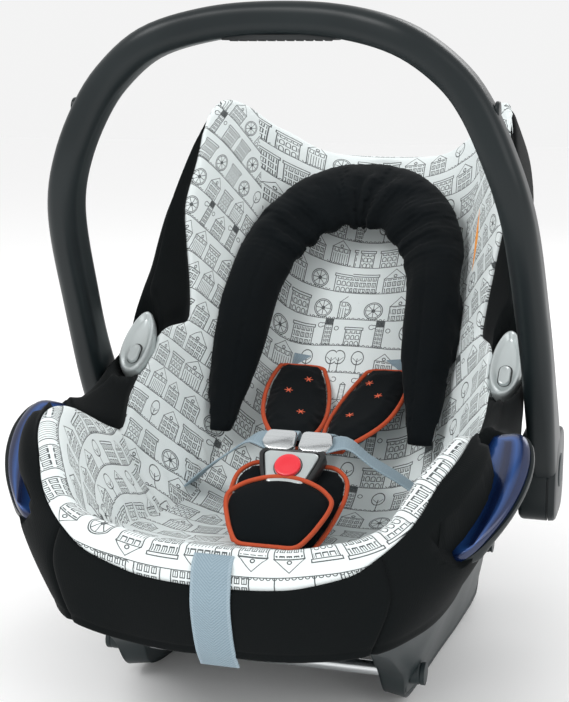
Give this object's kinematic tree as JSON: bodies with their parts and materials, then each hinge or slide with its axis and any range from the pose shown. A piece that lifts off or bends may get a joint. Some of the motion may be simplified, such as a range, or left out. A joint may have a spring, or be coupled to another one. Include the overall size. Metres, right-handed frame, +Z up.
{
  "type": "infant car seat",
  "caption": "Rear-facing infant car seat: padded rocker bucket, head hugger, buckled harness, blue belt guides and a carrying handle that swings on hubs.",
  "frame": {"origin": "centre of the bounding box at floor level", "axes": "+Y from the front lip to the head end, +Z up, +X to the right seen from the front; the seat faces -Y"},
  "size_m": [0.45, 0.6244, 0.574],
  "materials": {
    "shell_plastic": "fine-grained dark grey",
    "grip_rubber": "soft matt",
    "foam": "moulded bead foam",
    "white_fabric": "padded, printed with thin lines",
    "black_fabric": "knitted, matt",
    "webbing": "woven webbing",
    "orange_fabric": "plain label tape",
    "buckle_plastic": "smooth black",
    "silver_plastic": "silver lacquer, satin",
    "red_plastic": "smooth",
    "steel": "bright",
    "blue_plastic": "glossy, pearly"
  },
  "bodies": {
    "seat": {"adjuster_housing": "shell_plastic", "adjuster_pin": "steel", "adjuster_strap": "webbing", "belt_guide_back_left": "shell_plastic", "belt_guide_back_right": "shell_plastic", "belt_guide_left": "blue_plastic", "belt_guide_right": "blue_plastic", "buckle_body": "buckle_plastic", "buckle_face": "silver_plastic", "button_spring_left": "steel", "button_spring_right": "steel", "crotch_pad": "black_fabric", "crotch_pocket": "black_fabric", "crotch_strap": "webbing", "foam_bucket": "foam", "front_bar": "steel", "front_bar_cap_left": "shell_plastic", "front_bar_cap_right": "shell_plastic", "front_cover": "black_fabric", "head_hugger": "black_fabric", "lap_strap_left": "webbing", "lap_strap_right": "webbing", "rear_bar": "steel", "rear_bar_cap_left": "shell_plastic", "rear_bar_cap_right": "shell_plastic", "release_bezel_left": "silver_plastic", "release_bezel_right": "silver_plastic", "seat_liner": "white_fabric", "seat_shell": "shell_plastic", "shoulder_pad_left": "black_fabric", "shoulder_pad_right": "black_fabric", "shoulder_strap_left": "webbing", "shoulder_strap_right": "webbing", "side_cover_left": "black_fabric", "side_cover_right": "black_fabric", "tongue_left": "steel", "tongue_right": "steel", "wing_tab": "orange_fabric"},
    "handle": {"carrying_handle": "shell_plastic", "handle_grip": "grip_rubber", "canopy_stud_left": "shell_plastic", "canopy_stud_right": "shell_plastic"},
    "handle_button_left": {"handle_button_left": "shell_plastic"},
    "handle_button_right": {"handle_button_right": "shell_plastic"},
    "release_slider_left": {"release_slider_left": "silver_plastic"},
    "release_slider_right": {"release_slider_right": "silver_plastic"},
    "buckle_button": {"buckle_button": "red_plastic"},
    "adjuster_lever": {"adjuster_lever": "silver_plastic"}
  },
  "joints": [
    {"name": "handle_swing", "type": "hinge", "parent": "seat", "child": "handle", "pos_m": [0, 0.03416, 0.15302], "axis": [-1, 0, 0], "range_deg": [0, 115]},
    {"name": "handle_button_right_press", "type": "slide", "parent": "handle", "child": "handle_button_right", "axis": [-1, 0, 0], "range_m": [0, 0.004], "stiffness_N_per_m": 900, "springref_m": -0.003, "deforming": ["button_spring_right"]},
    {"name": "release_slider_right_pull", "type": "slide", "parent": "seat", "child": "release_slider_right", "axis": [0, 0.7629, 0.6465], "range_m": [0, 0.0135], "stiffness_N_per_m": 250, "springref_m": -0.004},
    {"name": "handle_button_left_press", "type": "slide", "parent": "handle", "child": "handle_button_left", "axis": [1, 0, 0], "range_m": [0, 0.004], "stiffness_N_per_m": 900, "springref_m": -0.003, "deforming": ["button_spring_left"]},
    {"name": "release_slider_left_pull", "type": "slide", "parent": "seat", "child": "release_slider_left", "axis": [0, 0.7629, 0.6465], "range_m": [0, 0.0135], "stiffness_N_per_m": 250, "springref_m": -0.004},
    {"name": "buckle_press", "type": "slide", "parent": "seat", "child": "buckle_button", "axis": [0, 0.6, -0.8], "range_m": [0, 0.003], "stiffness_N_per_m": 2500, "springref_m": -0.003},
    {"name": "adjuster_press", "type": "hinge", "parent": "seat", "child": "adjuster_lever", "pos_m": [0, -0.26184, 0.11402], "axis": [-1, 0, 0], "range_deg": [0, 15], "stiffness_Nm_per_rad": 0.6, "springref_deg": -11.46}
  ]
}
